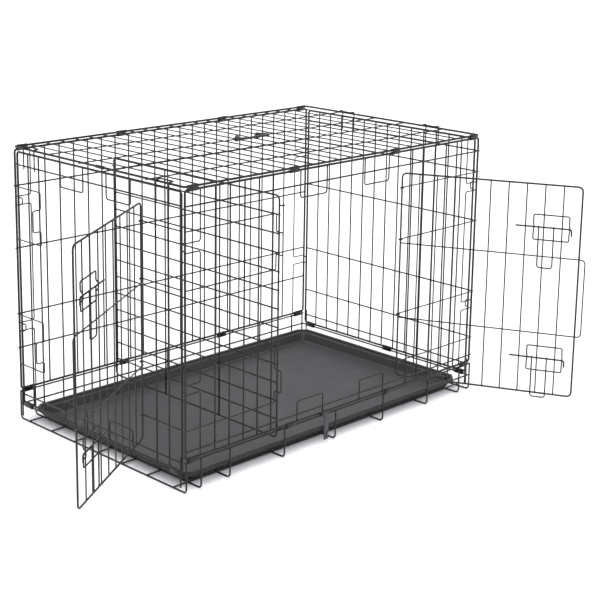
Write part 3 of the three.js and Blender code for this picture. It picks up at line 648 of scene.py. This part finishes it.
def hinge_rows(work, plane, at, out, start, hinge, stand, rows):
    """Rows whose ends curl round a door's hinge wire."""
    radius = stand - mesh_layer
    toward = math.copysign(1, hinge - start)
    for v in rows:
        path = [on(plane, at + out * mesh_layer)(start, v)]
        steps = 14
        for k in range(steps + 1):
            a = math.radians(EYE_TURN * k / steps)
            place = on(plane, at + out * (stand - radius * math.cos(a)))
            path.append(place(hinge + toward * radius * math.sin(a), v))
        work.wire(path, MESH_WIRE)


def hoops(work, sizes, foot, head, place_of, plane, at):
    place = on(plane, at)
    for first, last in sizes["spaces"]:
        a, b = place_of(first), place_of(last)
        for rail, close in ((head, height - sizes["drop"]), (foot, sizes["foot"])):
            work.wire([place(a, rail), place(a, close), place(b, close), place(b, rail)], HOOP_WIRE, 6)


side_hinge = Vector(joints["side_door_hinge"]["pos_m"]) / MM
end_hinge = Vector(joints["end_door_hinge"]["pos_m"]) / MM
side_keeper = side_hinge.x - SIDE_DOOR["width"] + SIDE_DOOR["keeper"]
end_keeper = end_hinge.y + END_DOOR["width"] - END_DOOR["keeper"]


def front_side_panel():
    work = Wirework()
    pitch = 2 * half_length / LONG_SPACES
    first = math.floor((side_keeper + half_length) / pitch)
    last = math.ceil((side_hinge.x + 2 * DOOR_WIRE + half_length) / pitch)
    uprights = long_side(work, -1, (first, last))
    reach = half_length + ROW_STUB
    full = [height - UPPER_ROW_DROP, SIDE_LOWER_ROW]
    work.lattice("xz", -half_width, uprights, [(z, -reach, reach) for z in full], -1)
    keepers(work, "xz", -half_width, -1, -reach, side_keeper)
    stand = -half_width - side_hinge.y
    hinge_rows(work, "xz", -half_width, -1, reach, side_hinge.x, stand, door_rows)
    near = [long_x(s) for s in range(1, first + 1)] + [-half_length]
    far = [long_x(s) for s in range(last, LONG_SPACES)] + [half_length]
    row_welds(work, "xz", -half_width, -1, door_rows, near + far)
    hoops(work, HOOP_SIDE, side_foot, side_head, long_x, "xz", -half_width)
    work.piece("front_side_panel", "root")


def end_frame(work, side):
    x = side * half_length
    panel_frame(work, -half_end, half_end, end_foot, end_head, FRAME_WIRE, "yz", x)
    leg_x = x + side * (FRAME_WIRE + BASE_WIRE) / 2
    for y in (-half_end, half_end):
        work.wire([(leg_x, y, LEG_FOOT), (leg_x, y, LEG_TOP)], BASE_WIRE)
        for z in slot_centres:
            place = on("xz", y)
            inner, half = x - side * CORNER_RING, SLOT_HEIGHT / 2 - 2
            ring = [place(x, z + half), place(inner, z + half), place(inner, z - half), place(x, z - half)]
            work.wire(ring, MESH_WIRE, 7)


def right_end_panel():
    work = Wirework()
    end_frame(work, 1)
    uprights = [(end_y(s), end_foot, end_head) for s in range(1, END_SPACES)]
    reach = half_end + ROW_STUB
    rows = [height - UPPER_ROW_DROP, END_LOWER_ROW, *door_rows]
    work.lattice("yz", half_length, uprights, [(z, -reach, reach) for z in rows], 1)
    row_welds(work, "yz", half_length, 1, rows, [-half_end, half_end])
    work.piece("right_end_panel", "right_end")


def left_end_panel():
    work = Wirework()
    end_frame(work, -1)
    pitch = 2 * half_end / END_SPACES
    first = math.floor((half_end - end_keeper) / pitch)
    last = math.ceil((half_end - end_hinge.y + 2 * DOOR_WIRE) / pitch)
    kept = [s for s in range(1, END_SPACES) if not first < s < last]
    uprights = [(end_y(s), end_foot, end_head) for s in kept]
    reach = half_end + ROW_STUB
    full = [height - UPPER_ROW_DROP, END_LOWER_ROW]
    work.lattice("yz", -half_length, uprights, [(z, -reach, reach) for z in full], -1)
    keepers(work, "yz", -half_length, -1, reach, end_keeper)
    stand = -half_length - end_hinge.x
    hinge_rows(work, "yz", -half_length, -1, -reach, end_hinge.y, stand, door_rows)
    row_welds(work, "yz", -half_length, -1, door_rows, [end_y(s) for s in kept] + [-half_end, half_end])
    hoops(work, HOOP_END, end_foot, end_head, end_y, "yz", -half_length)
    work.piece("left_end_panel", "left_end")


def top_panel():
    work = Wirework()
    panel_frame(work, -half_length, half_length, -half_width, half_width, FRAME_WIRE, "xy", height)
    outer = half_width - TOP_LONG_INSET
    lines = [-outer, -TOP_LONG_MIDDLE, TOP_LONG_MIDDLE, outer]
    low = height - mesh_layer
    for y in lines:
        work.wire([(-half_length - ROW_STUB, y, low), (half_length + ROW_STUB, y, low)], MESH_WIRE)
        for x in (-half_length, half_length):
            work.weld((x, y, height - mesh_layer / 2))
    for space in range(1, LONG_SPACES):
        x = long_x(space)
        work.wire([(x, -half_width, height), (x, half_width, height)], MESH_WIRE)
        for y in lines:
            work.weld((x, y, height - mesh_layer / 2))
    work.piece("top_panel", "root")


def top_hook(name, side, y):
    """A sprung loop of an end panel that stands outside the top rim and closes over it."""
    work = Wirework()
    leg = side * (half_length + row_face + RUNNING_GAP + HOOP_WIRE / 2)
    inner = leg - side * HOOK_REACH
    over = height + (FRAME_WIRE + HOOP_WIRE) / 2 + RUNNING_GAP
    half = (HOOK_WIDTH - HOOP_WIRE) / 2
    foot = height - HOOK_DROP
    path = [
        (leg, y - half, foot), (leg, y - half, over), (inner, y - half, over),
        (inner, y + half, over), (leg, y + half, over), (leg, y + half, foot),
    ]
    work.wire(path, HOOP_WIRE, 3)
    work.piece(name, f"{name.split('_')[0]}_end")


# ---------------------------------------------------------------- doors

bolt_y = -(DOOR_WIRE / 2 + RUNNING_GAP + BASE_WIRE / 2)
pull_y = bolt_y - (BASE_WIRE + HOOP_WIRE) / 2 + WELD_BITE


def door_panel(width, sill, head):
    """A door drawn shut and facing -Y, with its hinge wire on the Z axis and its free edge towards -X."""
    work = Wirework()
    panel_frame(work, -width, 0, sill, head, DOOR_WIRE, "xz", 0, DOOR_BEND)
    upper, lower = door_rows[1] - DOOR_ROW_DROP, door_rows[2] - DOOR_ROW_DROP
    xs = [-DOOR_PITCH * i for i in range(1, math.ceil(width / DOOR_PITCH - 0.5))]
    for x in xs:
        work.wire([(x, 0, sill), (x, 0, head)], MESH_WIRE)
    y, edge = -mesh_layer, -width - DOOR_LIP
    work.wire([(2, y, upper), (edge, y, upper), (edge, y, lower), (2, y, lower)], MESH_WIRE, 9)
    for x in [*xs, 0, -width]:
        for z in (upper, lower):
            work.weld((x, y / 2, z))
    return work


def bolt(width, centre):
    work = Wirework()
    tip, tail = -width + BOLT_TIP, -width + BOLT_TAIL
    rod = [(tail, bolt_y, centre), (tip, bolt_y, centre), (tip, bolt_y, centre - BOLT_HOOK)]
    work.wire(rod, BASE_WIRE, 5)
    near, far = -width + PULL_NEAR, -width + PULL_FAR
    top, foot = centre + BASE_WIRE / 2, centre - PULL_DROP
    pull = [(far, pull_y, top), (far, pull_y, foot), (near, pull_y, foot), (near, pull_y, top)]
    work.wire(pull, HOOP_WIRE, 6)
    for x in (near, far):
        work.weld((x, (bolt_y + pull_y) / 2, centre), HOOP_WIRE)
    return work


def bracket(width, centre):
    """A wire rectangle welded on the door, whose two upright sides step out over the bolt."""
    work = Wirework()
    weld_y = -(MESH_WIRE + HOOP_WIRE) / 2
    over_y = bolt_y - BASE_WIRE / 2 - RUNNING_GAP - HOOP_WIRE / 2
    half = BRACKET_HEIGHT / 2
    step = BASE_WIRE / 2 + RUNNING_GAP + HOOP_WIRE
    climb = [(weld_y, step + BRACKET_SLANT), (over_y, step), (over_y, -step), (weld_y, -step - BRACKET_SLANT)]
    near, far = -width + BRACKET_NEAR, -width + BRACKET_FAR
    path = [(near, weld_y, centre + half)]
    path += [(near, y, centre + z) for y, z in climb]
    path += [(near, weld_y, centre - half), (far, weld_y, centre - half)]
    path += [(far, y, centre + z) for y, z in reversed(climb)]
    path.append((far, weld_y, centre + half))
    work.wire(path, HOOP_WIRE, 3.5, closed=True)
    return work


def door(name, sizes, hinge, turn):
    """turn is the angle from shut and facing -Y to where the door stands."""
    place = Matrix.Translation((hinge.x, hinge.y, 0)) @ Matrix.Rotation(math.radians(turn), 4, "Z")
    width = sizes["width"]
    door_panel(width, sizes["sill"], height - sizes["drop"]).piece(f"{name}_door", f"{name}_door", place)
    for level, centre in bolt_centres.items():
        bolt(width, centre).piece(f"{name}_{level}_bolt", f"{name}_{level}_bolt", place)
        bracket(width, centre).piece(f"{name}_{level}_bracket", f"{name}_door", place)


# ---------------------------------------------------------------- divider


def divider():
    work = Wirework()
    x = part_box("divider_panel")[0].x / MM + DOOR_WIRE / 2
    head = height - DIVIDER_DROP
    edge = half_width - DIVIDER_GAP
    panel_frame(work, -edge, edge, DIVIDER_FOOT, head, DOOR_WIRE, "yz", x, DOOR_BEND)
    pitch = (head - DIVIDER_FOOT) / DIVIDER_SPACES
    rows = [(DIVIDER_FOOT + i * pitch, -edge, edge) for i in range(1, DIVIDER_SPACES)]
    uprights = [(y, DIVIDER_FOOT, head) for y in (-edge / 3, edge / 3)]
    work.lattice("yz", x, uprights, rows, 1)
    for side in (-1, 1):
        tip = side * (half_width - FRAME_WIRE / 2 - RUNNING_GAP - HOOP_WIRE / 2)
        for z in (head - 2 * DOOR_BEND, DIVIDER_FOOT + 2 * DOOR_BEND):
            work.wire([(x, side * edge, z), (x, tip, z), (x + DIVIDER_HOOK, tip, z)], HOOP_WIRE, 2.5)
    work.piece("divider_panel", "root")


# ---------------------------------------------------------------- tray


def tray_ring(half_x, half_y, inset, chamfer, z):
    """A rectangle with chamfered corners and rounded bends, counter-clockwise from above."""
    x, y = half_x - inset, half_y - inset
    corners = []
    for sx, sy in ((1, 1), (-1, 1), (-1, -1), (1, -1)):
        along = [(sx * x, sy * (y - chamfer), z), (sx * (x - chamfer), sy * y, z)]
        corners += along if sx * sy > 0 else reversed(along)
    return rounded(corners, TRAY_BEND, closed=True, steps=3)


def under(path, wall):
    """The path moved down and in by the wall, with mitred corners. Its first point stays at the foot."""
    normals = []
    for one, two in zip(path, path[1:]):
        along = (Vector(two) - Vector(one)).normalized()
        normals.append(Vector((along.y, -along.x)))
    moved = [Vector(path[0]) + Vector((wall / normals[0].x, 0))]
    for corner, one, two in zip(path[1:], normals, normals[1:]):
        moved.append(Vector(corner) + (one + two) * wall / (1 + one.dot(two)))
    moved.append(Vector(path[-1]) + normals[-1] * wall)
    return moved


def tray():
    low, high = (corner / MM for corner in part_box("tray"))
    rim_z, foot = high.z, low.z
    ledge_z, floor_z = rim_z - TRAY_LEDGE_DROP, foot + TRAY_WALL
    step = TRAY_RIM + TRAY_FLARE
    well = step + TRAY_LEDGE
    path = [
        (TRAY_SLOPE, foot), (0, rim_z), (TRAY_RIM, rim_z), (step, ledge_z), (well, ledge_z),
        (well + TRAY_WELL, floor_z), (well + TRAY_WELL + TRAY_FLAT, floor_z),
    ]
    kinds = ["outer", "outer", "step", "step", "well", "well", "well"]
    form = Form()
    skins = []
    for side in (path, under(path, TRAY_WALL)):
        corners = [(u, TRAY_CHAMFER[kind], v) for (u, v), kind in zip(side, kinds)]
        folded = rounded(corners, TRAY_FOLD, steps=3)
        rings = [tray_ring(high.x, high.y, p.x, p.y - TRAY_CHAMFER_LOSS * p.x, p.z) for p in folded]
        skins.append([form.ring(points) for points in rings])
    count = len(rings[0])
    top, bottom = skins
    for one, two in zip(top, top[1:]):
        form.join(one, two, count)
    for one, two in zip(bottom, bottom[1:]):
        form.join(two, one, count)
    form.join(bottom[0], top[0], count)
    form.faces.append(tuple(range(top[-1], top[-1] + count)))
    form.faces.append(tuple(reversed(range(bottom[-1], bottom[-1] + count))))
    made = finish_piece(form.mesh("tray_sheet"), "tray_sheet", "tray", "tray", tray_finish)
    cutter = Form()
    x, y = high.x - TRAY_HOLE["in_x"], TRAY_HOLE["in_y"] - high.y
    angles = [2 * math.pi * k / 32 for k in range(32)]
    long_half, short_half = TRAY_HOLE["length"] / 2, TRAY_HOLE["width"] / 2
    oval = [(x + long_half * math.cos(a), y + short_half * math.sin(a)) for a in angles]
    cutter.loft([[Vector((u, v, z)) for u, v in oval] for z in (foot - 5, rim_z + 5)])
    cut_by(made, cutter)
    made.data.shade_smooth()
    made.data.set_sharp_from_angle(angle=math.radians(38))


def apply_modifiers(made):
    graph = bpy.context.evaluated_depsgraph_get()
    mesh = bpy.data.meshes.new_from_object(made.evaluated_get(graph))
    made.modifiers.clear()
    old, made.data = made.data, mesh
    bpy.data.meshes.remove(old)
    mesh.name = made.name


def cut_by(made, cutter):
    tool = bpy.data.objects.new("cutter", cutter.mesh("cutter"))
    bpy.context.collection.objects.link(tool)
    cut = made.modifiers.new("cut", "BOOLEAN")
    cut.operation, cut.solver, cut.object = "DIFFERENCE", "EXACT", tool
    apply_modifiers(made)
    bpy.data.objects.remove(tool)


# ---------------------------------------------------------------- tray stop


def tray_stop():
    """A moulded strap that hangs from the front rail, with a ribbed grip round the rail and a finger knob."""
    low, high = (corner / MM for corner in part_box("tray_stop"))
    x = high.x - STOP_WIDTH / 2
    rail = Vector((x, -half_width, side_foot))
    strap_y = -half_width - STOP_BORE - STOP_THICKNESS / 2
    form = Form()
    hanging = [(x, strap_y, STOP_FOOT), (x, strap_y, side_foot - 1)]
    form.strap(hanging, (0, -1, 0), STOP_WIDTH, STOP_THICKNESS, 0)
    name = "tray_stop_strap"
    made = finish_piece(form.mesh(name), name, "tray_stop", "tray_stop", strap_finish)
    cutter = Form()
    half = STOP_SLOT["width"] / 2
    foot, head = STOP_SLOT["foot"], STOP_SLOT["foot"] + STOP_SLOT["height"]
    corners = [(x - half, foot), (x + half, foot), (x + half, head), (x - half, head)]
    slot = rounded([(u, 0, v) for u, v in corners], half, closed=True, steps=4)
    cutter.loft([[Vector((p.x, y, p.z)) for p in slot] for y in (strap_y + 10, strap_y - 10)])
    cut_by(made, cutter)
    made.data.shade_smooth()
    made.data.set_sharp_from_angle(angle=math.radians(50))
    grip = Form()
    pitch = STOP_WIDTH / STOP_RIBS
    outer = STOP_BORE + STOP_WALL
    profile = [(-STOP_WIDTH / 2, STOP_BORE)]
    for i in range(STOP_RIBS):
        for k in range(7):
            along = -STOP_WIDTH / 2 + pitch * (i + k / 6)
            profile.append((along, outer + STOP_RIB_HEIGHT * math.sin(math.pi * k / 6)))
    profile.append((STOP_WIDTH / 2, STOP_BORE))
    grip.turned(rail, (1, 0, 0), profile, 24, closed=True)
    knob_x = x - STOP_WIDTH / 2 - STOP_KNOB["offset"] + 3
    depth, radius = STOP_KNOB["depth"], STOP_KNOB["radius"]
    knob = [
        (0, radius - 1.4), (0.5, radius - 0.4), (1.4, radius),
        (depth - 1.6, radius), (depth - 0.5, radius - 0.5), (depth, radius - 1.6),
    ]
    grip.turned((knob_x, strap_y + 1, side_foot), (0, -1, 0), knob)
    link = [(knob_x, strap_y - 1, side_foot - 1), (x, strap_y - 1, side_foot - 1)]
    grip.strap(link, (0, -1, 0), STOP_LINK["width"], STOP_LINK["thickness"], 0)
    name = "tray_stop_grip"
    mesh = grip.mesh(name)
    mesh.shade_smooth()
    mesh.set_sharp_from_angle(angle=math.radians(50))
    finish_piece(mesh, name, "tray_stop", "tray_stop", grip_finish)


# ---------------------------------------------------------------- carry handle


def carry_handle():
    """A moulded strap whose two eyes turn on a long wire of the roof."""
    low, high = (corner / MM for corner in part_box("carry_handle"))
    x, eye_y, eye_z = (low.x + high.x) / 2, TOP_LONG_MIDDLE, height - mesh_layer
    bed = height + MESH_WIRE / 2 + RUNNING_GAP + HANDLE_THICKNESS / 2
    grip_y, half_grip = eye_y - HANDLE_REACH, HANDLE_GRIP / 2 - HANDLE_STRAP / 2
    leg = [
        (HANDLE_SPREAD, eye_y + 1), (HANDLE_SPREAD, eye_y - 6),
        (half_grip, grip_y + 9), (HANDLE_SPREAD + 2, grip_y),
    ]
    bow = [(x - u, v, bed) for u, v in leg] + [(x + u, v, bed) for u, v in reversed(leg)]
    form = Form()
    form.strap(bow, (0, 0, 1), HANDLE_STRAP, HANDLE_THICKNESS, HANDLE_BEND)
    half, radius, bore, edge = (HANDLE_EYE[key] for key in ("width", "radius", "bore", "edge"))
    half /= 2
    profile = [
        (-half, bore), (-half, radius - edge), (-half + edge, radius),
        (half - edge, radius), (half, radius - edge), (half, bore),
    ]
    for side in (-1, 1):
        form.turned((x + side * HANDLE_SPREAD, eye_y, eye_z), (1, 0, 0), profile, 28, closed=True)
    name = "carry_handle_strap"
    mesh = form.mesh(name)
    mesh.shade_smooth()
    mesh.set_sharp_from_angle(angle=math.radians(55))
    finish_piece(mesh, name, "carry_handle", "carry_handle", grip_finish)


# ---------------------------------------------------------------- sleeve clips


def clip(node, body):
    """A strip rolled into a sleeve round two rails, with an open seam on its inner side and soft edges."""
    low, high = (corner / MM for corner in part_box(node))
    size, centre = high - low, (low + high) / 2
    along = "x" if size.x > size.y else "y"
    tall = size.z
    wide = size.y if along == "x" else size.x
    outer = wide / 2 - CLIP_TIGHTER
    straight = (tall - wide) / 2
    inner = outer - CLIP_WALL
    inward = math.copysign(1, -(centre.y if along == "x" else centre.x))

    def outline(radius):
        """One face of the sleeve's section, from one lip of the seam round to the other."""
        points = []
        steps = 10
        for sign in (1, -1):
            for k in range(steps + 1):
                a = math.pi * k / steps
                points.append((math.cos(a) * radius * sign, sign * (straight + math.sin(a) * radius)))
        lip = CLIP_SEAM / 2
        if straight < lip:
            points = points[1:-1]
        return [(radius, lip), *points, (radius, -lip)]

    section = outline(outer) + outline(inner)[::-1]
    half = CLIP_LENGTH / 2
    points = []
    for t in (-half, half):
        for u, v in section:
            u *= inward
            points.append(centre + (Vector((t, u, v)) if along == "x" else Vector((u, t, v))))
    count = len(section)
    faces = [(k, (k + 1) % count, count + (k + 1) % count, count + k) for k in range(count)]
    faces += [tuple(reversed(range(count))), tuple(range(count, 2 * count))]
    mesh = bpy.data.meshes.new(f"{node}_sleeve")
    mesh.from_pydata([p * MM for p in points], [], faces)
    made = finish_piece(mesh, f"{node}_sleeve", body, node, clip_steel)
    bevel = made.modifiers.new("edge", "BEVEL")
    bevel.width, bevel.segments, bevel.limit_method = CLIP_EDGE * MM, 2, "ANGLE"
    apply_modifiers(made)
    fix_normals(made.data)
    made.data.shade_smooth()
    made.data.set_sharp_from_angle(angle=math.radians(45))


def fix_normals(mesh):
    work = bmesh.new()
    work.from_mesh(mesh)
    bmesh.ops.recalc_face_normals(work, faces=work.faces)
    work.to_mesh(mesh)
    work.free()


# ---------------------------------------------------------------- the crate

base_panel()
back_side_panel()
front_side_panel()
left_end_panel()
right_end_panel()
top_panel()
divider()
door("side", SIDE_DOOR, side_hinge, joints["side_door_hinge"]["range_deg"][1])
door("end", END_DOOR, end_hinge, joints["end_door_hinge"]["range_deg"][1] - 90)
for end, side in (("left", -1), ("right", 1)):
    hook_y = half_width - HOOK_INSETS[end]
    top_hook(f"{end}_top_hook_front", side, -hook_y)
    top_hook(f"{end}_top_hook_back", side, hook_y)
for node in frame["nodes"]:
    if "clip" in node:
        clip(node, "root")
tray()
tray_stop()
carry_handle()

# ---------------------------------------------------------------- floor, light and camera

def studio():
    """A white floor that sweeps up all round, under a dim even world."""
    form = Form()
    flat, curved = SWEEP["flat"], SWEEP["reach"] - SWEEP["flat"]
    radii = [0.01, *(flat + curved * k / SWEEP_STEPS for k in range(SWEEP_STEPS + 1))]
    angles = [2 * math.pi * k / SWEEP_SIDES for k in range(SWEEP_SIDES)]
    rings = []
    for radius in radii:
        rise = SWEEP["rise"] * max(radius - flat, 0) ** 2
        points = [Vector((radius * math.cos(t), radius * math.sin(t), rise)) / MM for t in angles]
        rings.append(form.ring(points))
    for one, two in zip(rings, rings[1:]):
        form.join(two, one, SWEEP_SIDES)
    form.faces.append(tuple(range(rings[0], rings[0] + SWEEP_SIDES)))
    mesh = form.mesh("floor")
    mesh.shade_smooth()
    floor = bpy.data.objects.new("floor", mesh)
    bpy.context.collection.objects.link(floor)
    shader = Shader(
        "floor", Base_Color=(0.93, 0.93, 0.945, 1), Roughness=0.9, Specular_IOR_Level=0.1,
        Emission_Color=(0.95, 0.96, 1, 1), Emission_Strength=0.05)
    mesh.materials.append(shader.material)
    world = bpy.data.worlds.new("studio")
    world.use_nodes = True
    world.node_tree.nodes["Background"].inputs["Color"].default_value = (0.9, 0.94, 1, 1)
    world.node_tree.nodes["Background"].inputs["Strength"].default_value = WORLD_STRENGTH
    bpy.context.scene.world = world


def soft_sun():
    """A broad overhead light, tilted from straight down towards a compass direction."""
    lamp = bpy.data.lights.new("overhead", "SUN")
    lamp.angle, lamp.energy = math.radians(SUN["softness"]), SUN["strength"]
    made = bpy.data.objects.new("overhead", lamp)
    made.rotation_euler = (math.radians(SUN["tilt"]), 0, math.radians(SUN["turn"]))
    bpy.context.collection.objects.link(made)


def camera():
    """A camera that looks towards the crate, with a slight roll about its line of sight."""
    data = bpy.data.cameras.new("camera")
    data.sensor_width, data.lens, data.shift_y = 36, CAMERA["lens"], CAMERA["shift"]
    made = bpy.data.objects.new("camera", data)
    a, e, roll = (math.radians(CAMERA[key]) for key in ("azimuth", "elevation", "roll"))
    back = Vector((math.sin(a) * math.cos(e), -math.cos(a) * math.cos(e), math.sin(e)))
    right = (-back).cross(Vector((0, 0, 1))).normalized()
    up = right.cross(-back)
    tilted = math.cos(roll) * right + math.sin(roll) * up
    above = -math.sin(roll) * right + math.cos(roll) * up
    turn = Matrix((tilted, above, back)).transposed().to_4x4()
    made.matrix_world = Matrix.Translation(CAMERA["at"]) @ turn
    bpy.context.collection.objects.link(made)
    bpy.context.scene.camera = made


studio()
soft_sun()
camera()
bpy.context.scene.view_settings.view_transform = "Standard"
